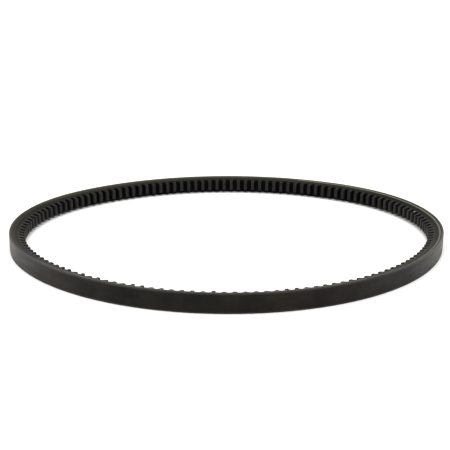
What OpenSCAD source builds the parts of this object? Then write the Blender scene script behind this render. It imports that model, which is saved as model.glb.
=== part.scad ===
// Raw-edge cogged V-belt: an endless loop that lies on its side.
// It lies on the plane Z = 0, with the loop's own axis along +Z and its long way along X.
// The origin is at the middle of the loop, on the plane that it lies on. Lengths are in millimetres.
// Every layer is a ring of one tapered section. A depth is counted inwards from the back of the belt.

/* [Section] */
// Width across the back of the belt
top_w = 9.7; // [8.7:0.1:13]
// Thickness from the back to the tips of the cogs
belt_t = 8; // [7.8:0.1:9]
// Angle between the two cut flanks, in degrees
wedge_deg = 34; // [32:1:42]
// Width of the narrow band worn square on each outer edge
edge_band = 0.3; // [0.2:0.05:0.3]

/* [Loop] */
// Length round the back of the belt
outside_len = 700; // [600:25:1200]
// Radius of the two tight ends, as a share of half the loop's length
end_share = 0.8; // [0.74:0.01:0.84]
// Reach from the ends' centre line to the back of the loop, as a share of half its length
back_share = 0.87; // [0.86:0.01:0.94]
// Reach from the ends' centre line to the front of the loop, as a share of half its length
front_share = 0.93; // [0.87:0.01:0.96]

/* [Layers] */
// Thickness of one ply of the backing fabric
fabric_t = 0.3; // [0.3:0.05:0.4]
// Thickness of the tension rubber above the cords
tension_t = 0.5; // [0.3:0.1:0.7]
// Thickness of each sheet of adhesion gum, one above the cords and one below
gum_t = 0.4; // [0.3:0.05:0.5]
// Thickness of the compression rubber between the gum and the cog pad
compression_t = 1.9; // [1.4:0.1:2.1]

/* [Tensile cords] */
// Diameter of one cord
cord_d = 0.8; // [0.7:0.05:0.9]
// Spacing of the cords across the belt
cord_step = 1.05; // [1.05:0.05:1.3]
// Direction in which the upper cut cord end lies, in degrees from +X
cord_end_deg = 64; // [40:1:80]

/* [Cogs] */
// Number of moulded cogs round the loop
cogs = 140; // [100:1:170]
// Depth of the notch between two cogs
notch_d = 3; // [2.2:0.1:3.1]
// Share of the pitch that the tip of a cog takes
tip_share = 0.28; // [0.22:0.01:0.44]
// Share of the pitch that the floor of a notch takes
floor_share = 0.38; // [0.2:0.01:0.46]

/* [Hidden] */
$fn = 240;

// Depth at which each layer starts
inner_ply_at = fabric_t;
tension_at = inner_ply_at + fabric_t;
upper_gum_at = tension_at + tension_t;
cord_room_at = upper_gum_at + gum_t;
cord_gap_out = 0.02;
cord_gap_in = 0.1;
cord_at = cord_room_at + cord_gap_out + cord_d / 2;
lower_gum_at = cord_at + cord_d / 2 + cord_gap_in;
compression_at = lower_gum_at + gum_t;
cog_pad_at = compression_at + compression_t;

// Plan of the loop: two tight ends, a flatter back and a flatter front, which meet smoothly
unit_centre = 1 - end_share;
unit_back_r = flat_arc_r(back_share);
unit_front_r = flat_arc_r(front_share);
back_deg = atan2(unit_back_r - back_share, unit_centre);
front_deg = atan2(unit_front_r - front_share, unit_centre);
unit_len = (2 * end_share * (back_deg + front_deg)
    + unit_back_r * (180 - 2 * back_deg)
    + unit_front_r * (180 - 2 * front_deg)) * PI / 180;
half_len = outside_len / unit_len;
mid_y = (front_share - back_share) / 2 * half_len;
first_deg = -front_deg;

tight_r = end_share * half_len;
back_r = unit_back_r * half_len;
front_r = unit_front_r * half_len;
tight_x = unit_centre * half_len;
back_y = mid_y + back_share * half_len - back_r;
front_y = mid_y - front_share * half_len + front_r;

// One row for each arc: centre X, centre Y, radius of the belt's back, first and last angle
ARCS = [
    [tight_x, mid_y, tight_r, -front_deg, back_deg],
    [0, back_y, back_r, back_deg, 180 - back_deg],
    [-tight_x, mid_y, tight_r, 180 - back_deg, 180 + front_deg],
    [0, front_y, front_r, 180 + front_deg, 360 - front_deg],
];

// The cords: a pair wound side by side, which climbs from the lower flank to the upper one
lead = 2 * cord_step;
cord_turn = loop_len(cord_at);
rings_per_turn = 92;
cord_sides = 8;
cut_over = 0.15 * cord_d;
rim_w = 0.35;
rim_steps = 4;
cord_top = half_w(cord_at) + cut_over;
cord_rise = 2 * cord_top - cord_step;
cord_turns = cord_rise / lead;
exposed_turns = (cord_d / 2 + cut_over) / lead;
thin_turns = rim_w / lead;
cord_end_s = distance_at(cord_end_deg, cord_at);

// The sectors that the ring is built from
sector_step = 12;
sector_clear = 20;
sector_min_deg = 0.01;
cutter_over = 1;

// The cogs
pitch = loop_len(belt_t) / cogs;
first_cog = 0.46;
notch_clear = 0.25;
slope_points = 4;
slope_share = (1 - tip_share - floor_share) / 2;

// Radius of a flat arc that meets both ends smoothly, for a half length of 1
function flat_arc_r(reach) =
    (reach * reach + pow(1 - end_share, 2) - end_share * end_share) / (2 * (reach - end_share));

// Half the belt's width at a depth
function half_w(depth) = top_w / 2 - max(0, depth - edge_band) * tan(wedge_deg / 2);

// Lengths and places along the loop, at a depth
function arc_len(arc, depth) = (arc[2] - depth) * (arc[4] - arc[3]) * PI / 180;
function len_before(i, depth) = i == 0 ? 0 : len_before(i - 1, depth) + arc_len(ARCS[i - 1], depth);
function loop_len(depth) = len_before(len(ARCS), depth);
function wrapped(s, depth) = s - floor(s / loop_len(depth)) * loop_len(depth);
function arc_at(s, depth, i = 0) =
    i == len(ARCS) - 1 || s < len_before(i + 1, depth) ? i : arc_at(s, depth, i + 1);
function angle_on(i, s, depth) =
    ARCS[i][3] + (s - len_before(i, depth)) / (ARCS[i][2] - depth) * 180 / PI;
function distance_at(deg, depth) =
    let (i = [for (k = [0 : len(ARCS) - 1]) if (deg >= ARCS[k][3] && deg < ARCS[k][4]) k][0])
    len_before(i, depth) + (ARCS[i][2] - depth) * (deg - ARCS[i][3]) * PI / 180;
function direction(s, depth) =
    let (w = wrapped(s, depth)) angle_on(arc_at(w, depth), w, depth);

// Plan point on an arc at an angle and a depth
function arc_point(arc, deg, depth) =
    [arc[0] + (arc[2] - depth) * cos(deg), arc[1] + (arc[2] - depth) * sin(deg)];

// Plan point at a distance measured at one depth, placed at another depth
function plan_point(s, measured_at, depth) =
    let (w = wrapped(s, measured_at), i = arc_at(w, measured_at))
    arc_point(ARCS[i], angle_on(i, w, measured_at), depth);

// The plan of the sector that one arc's block fills, drawn well clear of the belt on both sides
function sector(arc, start, stop) =
    let (steps = ceil((stop - start) / sector_step), turn = (stop - start) / steps)
    concat(
        [for (k = [0 : steps]) arc_point(arc, start + k * turn, -sector_clear)],
        [for (k = [steps : -1 : 0]) arc_point(arc, start + k * turn, belt_t + sector_clear)]
    );

// A ring, or part of one, of a section drawn as points of depth and height
module ring(section, from_deg = first_deg, to_deg = first_deg + 360) {
    for (arc = ARCS, turn = [-360, 0, 360]) {
        start = max(arc[3], from_deg + turn);
        stop = min(arc[4], to_deg + turn);
        if (stop > start + sector_min_deg)
            intersection() {
                translate([arc[0], arc[1], top_w / 2])
                    rotate_extrude()
                        polygon([for (p = section) [arc[2] - p[0], p[1]]]);
                translate([0, 0, -cutter_over])
                    linear_extrude(height = top_w + 2 * cutter_over)
                        polygon(sector(arc, start, stop));
            }
    }
}

// The section of a layer between two depths, flank to flank
function layer_section(d0, d1) = concat(
    [[d0, -half_w(d0)], [d0, half_w(d0)]],
    d0 < edge_band && d1 > edge_band ? [[edge_band, half_w(edge_band)]] : [],
    [[d1, half_w(d1)], [d1, -half_w(d1)]],
    d0 < edge_band && d1 > edge_band ? [[edge_band, -half_w(edge_band)]] : []
);

// The strip of gum that closes the cord room at one flank, side 1 above or -1 below
module rim(side, w, from_s, to_s) {
    d0 = cord_room_at;
    d1 = lower_gum_at;
    from_deg = direction(from_s, cord_at);
    to_deg = direction(to_s, cord_at);
    section = [
        [d0, side * half_w(d0)],
        [d1, side * half_w(d1)],
        [d1, side * (half_w(d1) - w)],
        [d0, side * (half_w(d0) - w)],
    ];
    ring(section, from_deg, to_deg > from_deg ? to_deg : to_deg + 360);
}

// Middle of the ring of cord points that starts at an index
function ring_middle(points, first, k = 0) =
    k == cord_sides ? [0, 0, 0] : points[first + k] / cord_sides + ring_middle(points, first, k + 1);

// One cord: a round rod swept along its climb and cut off square by the flanks
module cord(offset_z) {
    ring_count = ceil(cord_turns * rings_per_turn);
    points = [
        for (i = [0 : ring_count], k = [0 : cord_sides - 1])
            let (
                s = cord_end_s - cord_turn * cord_turns * (1 - i / ring_count),
                a = 360 * k / cord_sides,
                depth = cord_at + cord_d / 2 * cos(a),
                middle = cord_top - cord_rise * (1 - i / ring_count) + offset_z,
                flank = half_w(depth),
                z = min(flank, max(-flank, middle + cord_d / 2 * sin(a))),
                p = plan_point(s, cord_at, depth)
            )
            [p[0], p[1], top_w / 2 + z]
    ];
    sides = [
        for (i = [0 : ring_count - 1], k = [0 : cord_sides - 1])
            let (
                a = i * cord_sides + k,
                b = i * cord_sides + (k + 1) % cord_sides
            )
            [a, b, b + cord_sides, a + cord_sides]
    ];
    // Each cut end is a fan of triangles about its middle, because some of its corners lie in line on the flank
    last = ring_count * cord_sides;
    first_middle = last + cord_sides;
    last_middle = first_middle + 1;
    middles = [ring_middle(points, 0), ring_middle(points, last)];
    caps = [
        for (k = [0 : cord_sides - 1])
            let (next = (k + 1) % cord_sides)
            each [[first_middle, next, k], [last_middle, last + k, last + next]]
    ];
    polyhedron(concat(points, middles), concat(sides, caps));
}

module backing_fabric_outer_ply() {
    color([0.16, 0.16, 0.15])
        ring(layer_section(0, inner_ply_at));
}

module backing_fabric_inner_ply() {
    color([0.19, 0.19, 0.17])
        ring(layer_section(inner_ply_at, tension_at));
}

module tension_rubber() {
    color([0.24, 0.24, 0.21])
        ring(layer_section(tension_at, upper_gum_at));
}

module upper_adhesion_gum() {
    color([0.26, 0.25, 0.22])
        ring(layer_section(upper_gum_at, cord_room_at));
}

module tensile_cord_s_twist() {
    color([0.55, 0.54, 0.44])
        cord(0);
}

module tensile_cord_z_twist() {
    color([0.52, 0.50, 0.42])
        cord(-cord_step);
}

// The lower gum also closes the cord room at the flanks, except where a cut cord shows
module lower_adhesion_gum() {
    up_shown = cord_end_s - exposed_turns * cord_turn;
    up_thin = up_shown - thin_turns * cord_turn;
    low_start = cord_end_s - cord_turns * cord_turn;
    low_shown = low_start + exposed_turns * cord_turn;
    thin_len = thin_turns * cord_turn / rim_steps;
    color([0.26, 0.25, 0.22]) {
        ring(layer_section(lower_gum_at, compression_at));
        rim(1, rim_w, cord_end_s, up_thin);
        rim(-1, rim_w, low_shown + thin_turns * cord_turn, low_start);
        for (k = [1 : rim_steps - 1]) {
            w = rim_w * k / rim_steps;
            rim(1, w, up_shown - (k + 1) * thin_len, up_shown - k * thin_len);
            rim(-1, w, low_shown + k * thin_len, low_shown + (k + 1) * thin_len);
        }
    }
}

module compression_rubber() {
    color([0.22, 0.22, 0.20])
        ring(layer_section(compression_at, cog_pad_at));
}

// Outline of the space inside the cogs: it dips into a notch at every pitch
function notch_outline() = [
    for (c = [0 : cogs - 1], side = [0, 1], k = [0 : slope_points])
        let (
            t = side == 0 ? k / slope_points : 1 - k / slope_points,
            start = side == 0 ? tip_share / 2 : tip_share / 2 + slope_share + floor_share,
            s = (first_cog + c + start + slope_share * (side == 0 ? t : 1 - t)) * pitch,
            depth = belt_t + notch_clear - (notch_d + notch_clear) * (1 - cos(180 * t)) / 2
        )
        plan_point(s, belt_t, depth)
];

module cog_pad() {
    color([0.20, 0.20, 0.19])
        difference() {
            ring(layer_section(cog_pad_at, belt_t));
            translate([0, 0, -cutter_over])
                linear_extrude(height = top_w + 2 * cutter_over)
                    polygon(notch_outline());
        }
}

backing_fabric_outer_ply();
backing_fabric_inner_ply();
tension_rubber();
upper_adhesion_gum();
tensile_cord_s_twist();
tensile_cord_z_twist();
lower_adhesion_gum();
compression_rubber();
cog_pad();
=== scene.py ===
"""Looks of a raw-edge cogged V-belt that lies on its side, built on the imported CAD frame.

The belt is a stack of layers, each a ring of one tapered section. A depth is counted inwards from the back
of the belt and a height from the plane that it lies on. A turn is the direction, in radians, in which the
back of the belt faces, so one turn of 2 pi goes once round the loop. Lengths are in metres.
"""

import math

import bpy
import numpy as np
from mathutils import Matrix, Vector


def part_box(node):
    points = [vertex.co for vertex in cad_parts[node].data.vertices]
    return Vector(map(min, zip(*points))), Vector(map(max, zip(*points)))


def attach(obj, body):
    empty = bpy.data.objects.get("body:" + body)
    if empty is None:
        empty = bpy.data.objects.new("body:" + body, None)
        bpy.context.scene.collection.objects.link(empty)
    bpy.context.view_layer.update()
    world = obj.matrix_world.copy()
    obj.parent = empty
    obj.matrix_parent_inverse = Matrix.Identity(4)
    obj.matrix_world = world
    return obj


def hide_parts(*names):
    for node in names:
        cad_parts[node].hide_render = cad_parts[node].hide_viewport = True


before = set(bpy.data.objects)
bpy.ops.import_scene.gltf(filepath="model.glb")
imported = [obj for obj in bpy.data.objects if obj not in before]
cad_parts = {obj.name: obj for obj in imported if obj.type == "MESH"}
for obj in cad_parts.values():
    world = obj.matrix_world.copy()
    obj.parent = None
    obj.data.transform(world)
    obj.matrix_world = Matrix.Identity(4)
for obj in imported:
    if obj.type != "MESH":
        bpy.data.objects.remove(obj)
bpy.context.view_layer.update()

MM = 0.001
TAU = 2 * math.pi

# The section: the angle between its flanks, the square edge before they lean in, and back to cog tips
WEDGE_ANGLE = math.radians(34)
EDGE_BAND = 0.3 * MM
BELT_T = 8 * MM

# The loop, in shares of half its length: the radius of its tight ends, and how far its back and its front
# reach from the line through the middles of those ends
END_SHARE = 0.8
BACK_SHARE = 0.87
FRONT_SHARE = 0.93

# The cogs. A tip, two slopes and a notch floor make up one pitch. FIRST_COG is how many pitches the first cog
# is from the start of the first arc, and NOTCH_CLEAR is how far the slopes would rise over the flat tips
COGS = 140
FIRST_COG = 0.46
NOTCH_D = 3 * MM
NOTCH_CLEAR = 0.25 * MM
TIP_SHARE = 0.28
FLOOR_SHARE = 0.38
SLOPE_SHARE = (1 - TIP_SHARE - FLOOR_SHARE) / 2

# The burrs that the knife leaves on the corners of the cogs. Each reaches out by the least amount and a
# random part of a further one, which is calm round most of the loop and rises along one stretch of cogs
BURR_LEAST = 0.1 * MM
BURR_CALM = 0.15 * MM
BURR_MOST = 0.5 * MM
BURRED_COG = 103
BURRED_SPREAD = 14

# How far a burr reaches down the flank, and down the slope of the notch beside it
BURR_DEPTH = 0.5 * MM
BURR_DOWN_SLOPE = 0.8 * MM

# The tensile cords. CORD_CUT_OVER is how far outside the flank the middle of a cord would be at its end, and
# CORD_END_TURN is where the upper flank cuts one off
CORD_D = 0.8 * MM
CORD_STEP = 1.05 * MM
CORD_CUT_OVER = 0.15 * CORD_D
CORD_END_TURN = math.radians(64)

# Where the CAD says that the belt is
outer_lo, outer_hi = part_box("backing_fabric_outer_ply")
HALF_LEN = outer_hi.x
WIDTH = outer_hi.z - outer_lo.z
MIDDLE = (outer_hi.z + outer_lo.z) / 2


def starts_at(node):
    """Depth at which a CAD layer starts."""
    return HALF_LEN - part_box(node)[1].x


# ---------------------------------------------------------------- the loop's plan: four smooth arcs

def flat_arc(reach):
    """Radius of a flat arc that meets both tight ends smoothly, for a half length of 1."""
    return (reach ** 2 + (1 - END_SHARE) ** 2 - END_SHARE ** 2) / (2 * (reach - END_SHARE))


back_r = flat_arc(BACK_SHARE)
front_r = flat_arc(FRONT_SHARE)
back_turn = math.atan2(back_r - BACK_SHARE, 1 - END_SHARE)
front_turn = math.atan2(front_r - FRONT_SHARE, 1 - END_SHARE)
middle_y = (FRONT_SHARE - BACK_SHARE) / 2
FIRST = -front_turn
BREAKS = np.array([FIRST, back_turn, math.pi - back_turn, math.pi + front_turn, TAU - front_turn])
ARC_R = HALF_LEN * np.array([END_SHARE, back_r, END_SHARE, front_r])
ARC_X = HALF_LEN * np.array([1 - END_SHARE, 0, END_SHARE - 1, 0])
ARC_Y = HALF_LEN * (middle_y + np.array([0, BACK_SHARE - back_r, 0, front_r - FRONT_SHARE]))


def place(turn, depth):
    """Plan points at these turns round the loop and depths below the belt's back."""
    turn = FIRST + np.mod(turn - FIRST, TAU)
    arc = np.clip(np.searchsorted(BREAKS, turn, side="right") - 1, 0, 3)
    reach = ARC_R[arc] - depth
    return ARC_X[arc] + reach * np.cos(turn), ARC_Y[arc] + reach * np.sin(turn)


def runs(depth):
    """Distances round the loop at which its arcs start, and its whole length, at a depth."""
    return np.concatenate([[0], np.cumsum((ARC_R - depth) * np.diff(BREAKS))])


def run_at(turn, depth):
    """Distance round the loop, at a depth, of each turn."""
    laps = np.floor((turn - FIRST) / TAU)
    return np.interp(turn - laps * TAU, BREAKS, runs(depth)) + laps * runs(depth)[-1]


def turn_at(run, depth):
    """Turn at each distance round the loop, measured at a depth."""
    length = runs(depth)[-1]
    laps = np.floor(run / length)
    return np.interp(run - laps * length, runs(depth), BREAKS) + laps * TAU


def half_width(depth):
    """Half the belt's width at a depth."""
    return WIDTH / 2 - np.maximum(0, depth - EDGE_BAND) * math.tan(WEDGE_ANGLE / 2)


COG_PITCH = runs(BELT_T)[-1] / COGS


# ---------------------------------------------------------------- mesh code

SHARP_ANGLE = math.radians(40)


def swept(name, turns, depth, height, closed, values=None):
    """A tube swept round the loop: one ring of points for each turn, all with the same number of points.

    The map "belt_run" holds the distance along the belt's back and the distance round the section, in metres.
    Values are named grids of numbers, one number for each point.
    """
    rings, sides = depth.shape
    x, y = place(turns[:, None], depth)
    points = np.stack([x, y, height], axis=-1).reshape(-1, 3)
    spans = rings if closed else rings - 1
    i, k = np.meshgrid(np.arange(spans), np.arange(sides), indexing="ij")
    i, k = i.ravel(), k.ravel()
    far_i, far_k = (i + 1) % rings, (k + 1) % sides
    quads = np.stack([i * sides + k, i * sides + far_k, far_i * sides + far_k, far_i * sides + k], axis=1)
    faces = [tuple(q) for q in quads.tolist()]
    step_d = np.diff(np.append(depth[0], depth[0, 0]))
    step_h = np.diff(np.append(height[0], height[0, 0]))
    girth = np.concatenate([[0], np.cumsum(np.hypot(step_d, step_h))])
    run = run_at(np.append(turns, turns[0] + TAU if closed else turns[-1]), 0)
    corners = np.stack([
        np.stack([run[i], girth[k]], axis=1),
        np.stack([run[i], girth[k + 1]], axis=1),
        np.stack([run[i + 1], girth[k + 1]], axis=1),
        np.stack([run[i + 1], girth[k]], axis=1),
    ], axis=1).reshape(-1, 2)
    if not closed:
        points, faces, corners = with_caps(points, faces, corners, rings, sides)
    mesh = bpy.data.meshes.new(name)
    mesh.from_pydata(points.tolist(), [], faces)
    layer = mesh.uv_layers.new(name="belt_run")
    layer.data.foreach_set("uv", corners.astype(np.float32).ravel())
    for key, grid in (values or {}).items():
        attribute = mesh.attributes.new(key, "FLOAT", "POINT")
        attribute.data.foreach_set("value", grid.astype(np.float32).ravel())
    mesh.polygons.foreach_set("use_smooth", [True] * len(mesh.polygons))
    if signed_volume(points, quads) < 0:
        mesh.flip_normals()
    mesh.set_sharp_from_angle(angle=SHARP_ANGLE)
    mesh.update()
    piece = bpy.data.objects.new(name, mesh)
    bpy.context.scene.collection.objects.link(piece)
    return piece


def with_caps(points, faces, corners, rings, sides):
    """Closes both ends of a tube with fans of triangles about the middle of each end."""
    cap_corners = 3 * 2 * sides
    last = (rings - 1) * sides
    middles = np.stack([points[:sides].mean(axis=0), points[last:].mean(axis=0)])
    first_middle, last_middle = len(points), len(points) + 1
    for k in range(sides):
        far = (k + 1) % sides
        faces.append((first_middle, far, k))
        faces.append((last_middle, last + k, last + far))
    unmapped = np.zeros((cap_corners, 2))
    return np.concatenate([points, middles]), faces, np.concatenate([corners, unmapped])


def signed_volume(points, quads):
    """Volume inside the quads, negative if they are wound inside out."""
    a, b, c, d = (points[quads[:, n]] for n in range(4))
    first_half = np.einsum("ij,ij->i", a, np.cross(b, c))
    second_half = np.einsum("ij,ij->i", a, np.cross(c, d))
    return (first_half + second_half).sum() / 6


def rounded(corners, steps=6):
    """An outline of (depth, height, reach back, reach ahead) corners, each rounded over its reaches."""
    out = []
    for n, (d, h, reach_back, reach_ahead) in enumerate(corners):
        here = np.array([d, h])
        before = np.array(corners[n - 1][:2])
        after = np.array(corners[(n + 1) % len(corners)][:2])
        back = (before - here) / np.linalg.norm(before - here) * reach_back
        ahead = (after - here) / np.linalg.norm(after - here) * reach_ahead
        for t in np.linspace(0, 1, steps):
            out.append(here + back * (1 - t) ** 2 + ahead * t ** 2)
    return np.array(out)


def layer_ring(name, corners, turns):
    """A layer of constant section, given as corners whose heights are counted from the middle.

    The value "edge" is 1 beside the belt's two edges and 0 on the rest of its back.
    """
    rubbed_and_highlight_from = WIDTH / 2 - 0.9 * MM
    fade = 0.4 * MM
    outline = rounded(corners)
    depth = np.repeat(outline[None, :, 0], len(turns), axis=0)
    height = np.repeat(outline[None, :, 1], len(turns), axis=0)
    edge = np.clip((np.abs(height) - rubbed_and_highlight_from) / fade, 0, 1)
    return swept(name, turns, depth, height + MIDDLE, closed=True, values={"edge": edge})


# ---------------------------------------------------------------- shader code

class Graph:
    """A node tree under construction. Each method adds what it needs and returns its output."""

    def __init__(self, tree):
        self.tree = tree

    def give(self, socket, value):
        """Sets a socket to a number or a colour, or links another node's output to it."""
        if isinstance(value, bpy.types.NodeSocket):
            self.tree.links.new(value, socket)
        else:
            socket.default_value = value

    def coordinates(self, kind):
        return self.tree.nodes.new("ShaderNodeTexCoord").outputs[kind]

    def parts(self, vector):
        node = self.tree.nodes.new("ShaderNodeSeparateXYZ")
        self.give(node.inputs[0], vector)
        return node.outputs

    def math(self, operation, *values):
        node = self.tree.nodes.new("ShaderNodeMath")
        node.operation = operation
        for socket, value in zip(node.inputs, values):
            self.give(socket, value)
        return node.outputs["Value"]

    def plus(self, first, second):
        return self.math("ADD", first, second)

    def times(self, first, second):
        return self.math("MULTIPLY", first, second)

    def span(self, value, low, high, to_low=0.0, to_high=1.0):
        """Maps low..high to to_low..to_high, smoothly and clamped."""
        node = self.tree.nodes.new("ShaderNodeMapRange")
        node.interpolation_type = "SMOOTHSTEP"
        self.give(node.inputs["Value"], value)
        node.inputs["From Min"].default_value = low
        node.inputs["From Max"].default_value = high
        node.inputs["To Min"].default_value = to_low
        node.inputs["To Max"].default_value = to_high
        return node.outputs["Result"]


class Shader(Graph):
    """A material's node tree. Noise scales are in features per unit of the vector, which is in metres."""

    def __init__(self, name, roughness, specular):
        self.material = bpy.data.materials.new(name)
        self.material.use_nodes = True
        super().__init__(self.material.node_tree)
        self.surface = self.tree.nodes["Principled BSDF"]
        self.surface.inputs["Roughness"].default_value = roughness
        self.surface.inputs["Specular IOR Level"].default_value = specular

    def belt_run(self):
        """Distance along the belt and round its section, on the pieces that this script makes."""
        node = self.tree.nodes.new("ShaderNodeUVMap")
        node.uv_map = "belt_run"
        return node.outputs["UV"]

    def value_of(self, name):
        node = self.tree.nodes.new("ShaderNodeAttribute")
        node.attribute_name = name
        return node.outputs["Fac"]

    def scaled(self, vector, factors):
        node = self.tree.nodes.new("ShaderNodeVectorMath")
        node.operation = "MULTIPLY"
        self.give(node.inputs[0], vector)
        node.inputs[1].default_value = factors
        return node.outputs["Vector"]

    def distance(self, vector, point):
        node = self.tree.nodes.new("ShaderNodeVectorMath")
        node.operation = "DISTANCE"
        self.give(node.inputs[0], vector)
        node.inputs[1].default_value = point
        return node.outputs["Value"]

    def noise(self, vector, scale, detail=2.0, roughness=0.5, distortion=0.0):
        node = self.tree.nodes.new("ShaderNodeTexNoise")
        self.give(node.inputs["Vector"], vector)
        node.inputs["Scale"].default_value = scale
        node.inputs["Detail"].default_value = detail
        node.inputs["Roughness"].default_value = roughness
        node.inputs["Distortion"].default_value = distortion
        return node.outputs["Fac"]

    def drawn_out(self, vector, scales, detail, roughness=0.5):
        """Noise with its own scale in each direction, for streaks and marks."""
        return self.noise(self.scaled(vector, scales), 1.0, detail, roughness)

    def crown(self, value):
        """Half a wave, up and back, in each unit of the value."""
        return self.math("SINE", self.times(self.math("FRACT", value), math.pi))

    def blend(self, factor, first, second):
        node = self.tree.nodes.new("ShaderNodeMix")
        node.data_type = "RGBA"
        self.give(node.inputs["Factor"], factor)
        colours = [socket for socket in node.inputs if socket.type == "RGBA"]
        self.give(colours[0], first)
        self.give(colours[1], second)
        return next(socket for socket in node.outputs if socket.type == "RGBA")

    def bump(self, height, distance, normal=None):
        """Relief of this depth, on top of any relief that the normal already has."""
        node = self.tree.nodes.new("ShaderNodeBump")
        node.inputs["Distance"].default_value = distance
        self.give(node.inputs["Height"], height)
        if normal is not None:
            self.give(node.inputs["Normal"], normal)
        return node.outputs["Normal"]

    def finish(self, colour, roughness=None, normal=None):
        self.give(self.surface.inputs["Base Color"], colour)
        if roughness is not None:
            self.give(self.surface.inputs["Roughness"], roughness)
        if normal is not None:
            self.give(self.surface.inputs["Normal"], normal)
        return self.material


def grey(level, red=0.0, blue=0.0):
    """A linear colour near grey, with a little more or less red and blue than green."""
    return (level * (1 + red), level, level * (1 + blue), 1.0)


def woven_backing(name):
    """Rubber-filled fabric on the bias: worn thread crowns, patches of dust and a dull sheen.

    Towards the two ends of the loop its colour turns warm, a painted tint that stands in for the sheen seen
    there, and the worn edges carry a painted highlight that is palest at the back of the loop.
    """
    black = grey(0.0028, 0.1, -0.3)
    olive_black = grey(0.0052, -0.05, -0.35)
    brown_black = grey(0.0058, 0.75, -0.25)
    dust_grey = grey(0.02, 0.2, -0.3)
    crown_grey = grey(0.022, 0.2, -0.3)
    end_sheen_tint = grey(0.016, 0.28, -0.6)
    rubbed_front = grey(0.035, 0.06, -0.12)
    back_rim_painted_highlight = grey(0.3, 0.0, -0.3)
    thread_step = 0.62 * MM

    s = Shader(name, roughness=0.48, specular=0.11)
    run = s.belt_run()
    at = s.coordinates("Object")
    sideways, toward_back, _ = s.parts(at)

    u, v, _ = s.parts(s.scaled(run, (1 / thread_step, 1 / thread_step, 0)))
    warp = s.plus(u, v)
    weft = s.math("SUBTRACT", u, v)
    parity = s.math("MODULO", s.plus(s.math("FLOOR", warp), s.math("FLOOR", weft)), 2.0)
    over = s.math("ABSOLUTE", parity)
    under = s.math("SUBTRACT", 1.0, over)
    thread = s.plus(s.times(over, s.crown(warp)), s.times(under, s.crown(weft)))

    filled = s.span(s.noise(at, 90, detail=4), 0.35, 0.7)
    patches = s.noise(at, 38, detail=5, roughness=0.6, distortion=0.6)
    smears = s.drawn_out(run, (55, 420, 0), detail=4, roughness=0.6)
    specks = s.span(s.noise(at, 2600, detail=3), 0.62, 0.8)
    tints = s.noise(at, 24, detail=3, roughness=0.55)
    dust = s.times(s.span(patches, 0.4, 0.75), s.span(smears, 0.3, 0.75))
    dust = s.plus(dust, s.times(specks, 0.25))

    colour = s.blend(s.span(tints, 0.38, 0.62), olive_black, brown_black)
    colour = s.blend(s.span(patches, 0.3, 0.7), black, colour)
    colour = s.blend(s.times(dust, 0.75), colour, dust_grey)
    colour = s.blend(s.times(s.times(thread, filled), 0.5), colour, crown_grey)
    # Painted sheen: towards the two ends of the loop the colour is tinted warm, standing in for the sheen
    # seen there
    to_ends_sheen_tint = s.span(s.math("ABSOLUTE", sideways), 75 * MM, 115 * MM, 0.0, 0.6)
    colour = s.blend(to_ends_sheen_tint, colour, end_sheen_tint)
    # The worn edges run from a real worn grey at the front to a pale painted highlight at the back of the
    # loop
    rubbed_edge_and_highlight = s.blend(s.span(toward_back, -20 * MM, 70 * MM), rubbed_front, back_rim_painted_highlight)
    colour = s.blend(s.times(s.value_of("edge"), s.span(smears, 0.25, 0.6, 0.55, 1.0)), colour, rubbed_edge_and_highlight)

    rough = s.span(s.plus(smears, s.times(thread, -0.15)), 0.2, 0.8, 0.34, 0.55)
    normal = s.bump(s.times(thread, s.span(filled, 0, 1, 0.25, 1.0)), 0.06 * MM)
    normal = s.bump(s.noise(at, 700, detail=4), 0.05 * MM, normal)
    normal = s.bump(patches, 0.25 * MM, normal)
    return s.finish(colour, rough, normal)


def ground_rubber(name, low, high, fibres, red, blue):
    """A flank cut and ground true: fine marks along the belt, fibre ends and a dry bloom of dust.

    Its grey runs from low to high, and fibres is how strongly the fibre ends show. Its colour turns paler
    towards the back of the loop and more neutral towards the front.
    """
    fibre_end = grey(0.16, 0.08, -0.2)

    s = Shader(name, roughness=0.5, specular=0.02)
    at = s.coordinates("Object")
    _, toward_back, _ = s.parts(at)
    marks = s.drawn_out(at, (60, 60, 9000), detail=3, roughness=0.6)
    grain = s.noise(at, 3200, detail=3, roughness=0.65)
    ends = s.span(s.noise(at, 5200, detail=1), 0.66, 0.78)
    bloom = s.noise(at, 45, detail=5, roughness=0.6, distortion=0.4)

    colour = s.blend(s.span(bloom, 0.25, 0.8), grey(low, red, blue), grey(high, red, blue))
    # Paler towards the back of the loop, and more neutral towards the front
    paler_to_back = s.span(toward_back, 30 * MM, 80 * MM)
    colour = s.blend(paler_to_back, colour, grey(high * 1.7, red, blue))
    neutral_to_front = s.span(toward_back, -45 * MM, 0, 1.0, 0.0)
    colour = s.blend(neutral_to_front, colour, grey(high * 0.8, 0.02, -0.06))
    marked = s.times(s.span(marks, 0.4, 0.75), 0.3)
    colour = s.blend(marked, colour, grey(high * 1.5, red, blue))
    colour = s.blend(s.times(ends, fibres), colour, fibre_end)

    rough = s.span(s.plus(marks, s.times(bloom, 0.5)), 0.45, 1.0, 0.42, 0.62)
    normal = s.bump(marks, 0.02 * MM)
    normal = s.bump(grain, 0.035 * MM, normal)
    return s.finish(colour, rough, normal)


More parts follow.
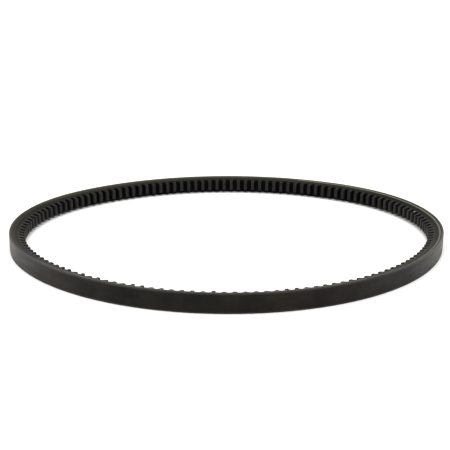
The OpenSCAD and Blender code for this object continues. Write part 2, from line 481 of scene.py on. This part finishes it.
def moulded_cogs(name, fleck_at):
    """Moulded cog rubber: worn tips and edges, notches darkened with painted shade, faint mould lines across
    and a pale fleck.
    """
    tip_dark = grey(0.011, 0.02, -0.02)
    tip_light = grey(0.022, 0.02, -0.04)
    scuffed = grey(0.035, 0.03, -0.05)
    worn_edge = grey(0.055, 0.04, -0.06)
    notch_painted_shade = grey(0.0015)
    flank_black = grey(0.003, 0.02, -0.1)
    fleck_white = grey(0.6, 0.02, -0.02)

    s = Shader(name, roughness=0.5, specular=0.07)
    run = s.belt_run()
    at = s.coordinates("Object")
    recess = s.value_of("recess")
    bloom = s.noise(at, 60, detail=5, roughness=0.6)
    grain = s.noise(at, 2400, detail=3, roughness=0.6)
    lines = s.drawn_out(run, (5200, 60, 0), detail=2)
    scuffs = s.span(s.noise(at, 900, detail=4, roughness=0.7, distortion=1.2), 0.45, 0.72)

    colour = s.blend(s.span(bloom, 0.25, 0.8), tip_dark, tip_light)
    colour = s.blend(s.times(scuffs, 0.3), colour, scuffed)
    colour = s.blend(s.times(s.value_of("edge"), s.span(scuffs, 0, 1, 0.35, 0.9)), colour, worn_edge)
    # Painted shade: the notches are coloured near black, the more so the deeper the recess
    colour = s.blend(s.span(recess, 0.12, 0.75), colour, notch_painted_shade)
    colour = s.blend(s.value_of("flank"), colour, flank_black)
    fleck = s.span(s.distance(at, fleck_at), 0.25 * MM, 0.45 * MM, 1.0, 0.0)
    colour = s.blend(fleck, colour, fleck_white)

    rough = s.span(s.plus(recess, s.times(scuffs, 0.5)), 0, 1.3, 0.5, 0.72)
    normal = s.bump(lines, 0.02 * MM)
    normal = s.bump(grain, 0.03 * MM, normal)
    normal = s.bump(bloom, 0.12 * MM, normal)
    return s.finish(colour, rough, normal)


def cut_cord(name):
    """Dipped polyester cord, sliced by the flank: pale filament bundles with dark resin between them."""
    fibre_dark = grey(0.08, 0.0, -0.24)
    fibre_light = grey(0.16, 0.0, -0.22)
    resin = grey(0.05, 0.04, -0.2)
    soil = grey(0.07, 0.03, -0.22)

    s = Shader(name, roughness=0.72, specular=0.3)
    filaments = s.drawn_out(s.belt_run(), (900, 9000, 0), detail=3, roughness=0.7)
    soiled = s.noise(s.coordinates("Object"), 260, detail=4, roughness=0.65)
    colour = s.blend(filaments, fibre_dark, fibre_light)
    colour = s.blend(s.span(s.value_of("strand"), 0.55, 1.0), colour, resin)
    colour = s.blend(s.span(soiled, 0.4, 0.75, 0.0, 0.55), colour, soil)
    return s.finish(colour, normal=s.bump(filaments, 0.04 * MM))


# ---------------------------------------------------------------- the belt's pieces

def every(step):
    """Turns round the whole loop, about one step of length apart."""
    length = runs(0)[-1]
    count = round(length / step)
    return turn_at(np.arange(count) * length / count, 0)


def make_outer_ply():
    """The outer ply of the backing fabric, with its two outer edges worn round.

    An edge is rounded a little way down the flank and further across the back. The two corners part-way
    across the back end the stretch that is worn.
    """
    start, stop = 0.0, starts_at("backing_fabric_inner_ply")
    outer, inner = half_width(start), half_width(stop)
    across_back, down_flank, sharp = 0.5 * MM, 0.27 * MM, 0.02 * MM
    unrubbed = outer - 1.0 * MM
    corners = [
        (start, -outer, down_flank, across_back),
        (start, -unrubbed, sharp, sharp),
        (start, unrubbed, sharp, sharp),
        (start, outer, across_back, down_flank),
        (stop, inner, sharp, sharp),
        (stop, -inner, sharp, sharp),
    ]
    return layer_ring("backing_fabric_outer_ply_worn", corners, every(1.5 * MM))


def from_cog_middle(shares):
    """How far each share of a pitch is from the middle of the nearest cog tip."""
    return np.minimum(np.mod(shares, 1), 1 - np.mod(shares, 1))


def notch_depths(shares):
    """Depth of the inner face at each share of a pitch, counted from the middle of a cog's tip."""
    samples = 512
    corner_softness = 0.1 * MM
    fine = np.arange(0, 1, 1 / samples)
    off_tip = from_cog_middle(fine) - TIP_SHARE / 2
    blend = (1 - np.cos(math.pi * np.clip(off_tip / SLOPE_SHARE, 0, 1))) / 2
    shape = np.minimum(BELT_T, BELT_T + NOTCH_CLEAR - (NOTCH_D + NOTCH_CLEAR) * blend)
    reach = from_cog_middle(fine) * COG_PITCH / corner_softness
    kernel = np.exp(-reach ** 2 / 2)
    soft = np.real(np.fft.ifft(np.fft.fft(shape) * np.fft.fft(kernel / kernel.sum())))
    return np.interp(np.mod(shares, 1), np.append(fine, 1), np.append(soft, soft[0]))


def cog_shares():
    """Where rings are cut along one pitch: closest together on the corners of a cog's tip."""
    coarse, dense = 4, 7
    before, after = 0.03, 0.06
    tip = TIP_SHARE / 2
    root = tip + SLOPE_SHARE
    half = np.concatenate([
        np.linspace(0, tip - before, coarse, endpoint=False),
        np.linspace(tip - before, tip + after, dense, endpoint=False),
        np.linspace(tip + after, root - before, coarse, endpoint=False),
        np.linspace(root - before, 0.5, coarse, endpoint=False),
    ])
    return np.concatenate([half, [0.5], 1 - half[:0:-1]])


def burrs(cogs, inside, seed):
    """How far the knife has dragged out a cog's corner: a little everywhere, and far along one stretch."""
    stretch = np.exp(-((np.arange(COGS) - BURRED_COG) / BURRED_SPREAD) ** 2)
    most = BURR_CALM + (BURR_MOST - BURR_CALM) * stretch
    dragged = BURR_LEAST + most * np.random.default_rng(seed).random(COGS) ** 2
    on_tip = np.clip(1 - (BELT_T - inside) / BURR_DOWN_SLOPE, 0, 1)
    return dragged[np.round(cogs).astype(int) % COGS] * on_tip


def make_cog_pad():
    """The moulded cog pad: rounded tips and notch roots, eased flank edges and knife burrs on the corners.

    Its values are "recess", 0 on a tip and 1 in a notch, "edge", 1 on the corners of a tip, and "flank".
    """
    ease = 0.12 * MM
    corner_wear = 0.16 * MM
    rows = 7
    shares = cog_shares()
    cogs = np.repeat(np.arange(COGS), len(shares)) + np.tile(shares, COGS)
    turns = turn_at((cogs + FIRST_COG) * COG_PITCH, BELT_T)
    inside = notch_depths(cogs)
    start = starts_at("cog_pad")

    lip = np.maximum(start + ease, inside - BURR_DEPTH)
    flank_depths = [np.full(len(turns), start), lip, inside - ease]
    depth = np.stack(flank_depths + [inside] * rows + flank_depths[::-1], axis=1)
    inner_half = half_width(inside) - ease
    height = np.concatenate([
        -half_width(depth[:, :3]),
        inner_half[:, None] * np.linspace(-1, 1, rows)[None, :],
        half_width(depth[:, -3:]),
    ], axis=1) + MIDDLE
    height[:, [2, 3]] -= burrs(cogs, inside, seed=3)[:, None]
    height[:, [-3, -4]] += burrs(cogs, inside, seed=5)[:, None]

    recess = np.clip((BELT_T - depth) / NOTCH_D, 0, 1)
    recess[:, :3] = recess[:, -3:] = 0
    off_corner = np.abs(from_cog_middle(cogs) - TIP_SHARE / 2) * COG_PITCH
    edge = np.exp(-(off_corner / corner_wear) ** 2)[:, None] * np.ones((1, depth.shape[1]))
    flank = np.zeros_like(depth)
    flank[:, :3] = flank[:, -3:] = 1
    values = {"recess": recess, "edge": edge, "flank": flank}
    return swept("cog_pad_moulded", turns, depth, height, closed=True, values=values)


def make_cut_cord():
    """The cord that the upper flank cuts open: three strands laid together, sliced flat by the flank.

    It climbs from the lower flank to the upper one, two cord steps in each turn, because the other cord lies
    between its turns. Its value "strand" is 0 on the crown of a strand and 1 in the groove between two.
    """
    strands = 3
    lay = 7.5 * MM
    groove_share = 0.16
    sides = 24
    # The last part of a turn, which the flank cuts, has its rings closer together than the rest
    fine_share = 0.45
    fine_step, coarse_step = 0.5 * MM, 3 * MM

    radius = CORD_D / 2
    centre = starts_at("tensile_cord_s_twist") + radius
    top = half_width(centre) + CORD_CUT_OVER
    rise = 2 * top - CORD_STEP
    turn_run = runs(centre)[-1]
    whole = rise / (2 * CORD_STEP) * turn_run
    end_run = float(run_at(np.array([CORD_END_TURN]), centre)[0])

    fine = fine_share * turn_run
    back_from_end = np.concatenate([np.arange(0, fine, fine_step), np.arange(fine, whole, coarse_step)])
    along = whole - np.append(back_from_end, whole)[::-1]
    turns = turn_at(end_run - whole + along, centre)

    angle = TAU * np.arange(sides) / sides
    phase = strands / 2 * (angle[None, :] - TAU * along[:, None] / lay)
    groove = 1 - np.abs(np.cos(phase))
    rod = radius * (1 - groove_share * groove)
    depth = centre + rod * np.cos(angle)[None, :]
    middle = -top + CORD_STEP + rise * along[:, None] / whole
    flank = half_width(depth)
    height = np.clip(middle + rod * np.sin(angle)[None, :], -flank, flank) + MIDDLE
    cap_middles = np.zeros(2)
    values = {"strand": np.append(groove.ravel(), cap_middles)}
    return swept("tensile_cord_s_twist_cut", turns, depth, height, closed=False, values=values)


def wears(piece, material):
    """Gives a new piece its one material."""
    piece.data.materials.clear()
    piece.data.materials.append(material)


def fit(piece, material, node):
    """Gives a new piece its material and puts it in the place of its CAD node."""
    wears(piece, material)
    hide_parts(node)
    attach(piece, "root")


backing = woven_backing("backing_fabric_worn")
ply_edge = ground_rubber("backing_fabric_ply_edge", low=0.04, high=0.07, fibres=0.2, red=0.02, blue=-0.35)
tension = ground_rubber("tension_rubber_ground", low=0.03, high=0.05, fibres=0.1, red=0.03, blue=-0.36)
gum = ground_rubber("adhesion_gum_ground", low=0.014, high=0.022, fibres=0.06, red=0.02, blue=-0.35)
compression = ground_rubber(
    "compression_rubber_ground", low=0.004, high=0.009, fibres=0.1, red=0.03, blue=-0.25)
cord_look = cut_cord("tensile_cord_dipped")

# The pale fleck lies on the upper flank's corner of one cog
FLECK_COG = 10
FLECK_DEPTH = 6 * MM
fleck_turn = turn_at(np.array([(FLECK_COG + FIRST_COG) * COG_PITCH]), BELT_T)
fleck_x, fleck_y = place(fleck_turn, FLECK_DEPTH)
fleck_at = (float(fleck_x[0]), float(fleck_y[0]), MIDDLE + float(half_width(FLECK_DEPTH)))
cog_look = moulded_cogs("cog_rubber_moulded", fleck_at)

fit(make_outer_ply(), backing, "backing_fabric_outer_ply")
fit(make_cog_pad(), cog_look, "cog_pad")
fit(make_cut_cord(), cord_look, "tensile_cord_s_twist")

# The CAD nodes that keep their own shape
KEPT = {
    "backing_fabric_inner_ply": ply_edge,
    "tension_rubber": tension,
    "upper_adhesion_gum": gum,
    "lower_adhesion_gum": gum,
    "compression_rubber": compression,
    "tensile_cord_z_twist": cord_look,
}
for node_name, look in KEPT.items():
    cad_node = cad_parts[node_name]
    for cad_slot in cad_node.material_slots:
        cad_slot.material = look


# ---------------------------------------------------------------- the studio

def make_floor():
    """A wide floor of white paper that fills the view."""
    reach = 30.0
    white = (0.9, 0.9, 0.9, 1)
    cool_white = (0.92, 0.92, 0.925, 1)
    corners = [(-reach, -reach, 0), (reach, -reach, 0), (reach, reach, 0), (-reach, reach, 0)]
    mesh = bpy.data.meshes.new("studio_floor")
    mesh.from_pydata(corners, [], [(0, 1, 2, 3)])
    floor = bpy.data.objects.new("studio_floor", mesh)
    bpy.context.scene.collection.objects.link(floor)
    s = Shader("studio_floor_paper", roughness=0.9, specular=0.1)
    clouds = s.noise(s.coordinates("Object"), 3.0)
    wears(floor, s.finish(s.blend(clouds, white, cool_white)))


def make_light():
    """White paper behind the belt, darker towards the camera and overhead, and a very soft light above.

    A narrow rim just over the horizon is white all the way round, so that the floor has no visible end.
    """
    warm_white = (1, 0.97, 0.9, 1)
    toward_camera, far_side = 0.1, 2.6
    at_horizon, overhead = 1.0, 0.3
    rim = 1.2
    lamp_strength = 4.2
    lamp_angle = math.radians(80)
    lamp_tilt = (math.radians(10), math.radians(-2), 0)

    world = bpy.data.worlds.new("studio_sky")
    bpy.context.scene.world = world
    world.use_nodes = True
    s = Graph(world.node_tree)
    _, away, up = s.parts(s.coordinates("Generated"))
    behind = s.span(away, -0.5, 1.0, toward_camera, far_side)
    low = s.span(up, 0.05, 0.6, at_horizon, overhead)
    narrow_rim = s.span(up, 0.03, 0.06, rim, 0.0)
    sky = s.tree.nodes["Background"]
    sky.inputs["Color"].default_value = warm_white
    s.give(sky.inputs["Strength"], s.math("MAXIMUM", s.times(behind, low), narrow_rim))

    lamp = bpy.data.lights.new("studio_soft_light", "SUN")
    lamp.energy = lamp_strength
    lamp.angle = lamp_angle
    light = bpy.data.objects.new("studio_soft_light", lamp)
    light.rotation_euler = lamp_tilt
    bpy.context.scene.collection.objects.link(light)


def make_camera():
    """The camera looks a little down on the belt from the front, from just left of the middle."""
    elevation = math.radians(18.03)
    yaw = math.radians(6.7)
    roll = math.radians(0.383)
    distance = 0.477

    data = bpy.data.cameras.new("studio_camera")
    data.sensor_width = 36
    data.lens = 69.32
    data.shift_x = -0.00744
    data.shift_y = 0.03111
    camera = bpy.data.objects.new("studio_camera", data)
    away = Vector((
        -math.cos(elevation) * math.sin(yaw),
        -math.cos(elevation) * math.cos(yaw),
        math.sin(elevation),
    ))
    aim = (-away).to_track_quat("-Z", "Y").to_matrix().to_4x4()
    camera.matrix_world = Matrix.Translation(away * distance) @ aim @ Matrix.Rotation(roll, 4, "Z")
    bpy.context.scene.collection.objects.link(camera)
    bpy.context.scene.camera = camera


make_floor()
make_light()
make_camera()
bpy.context.scene.view_settings.view_transform = "Standard"
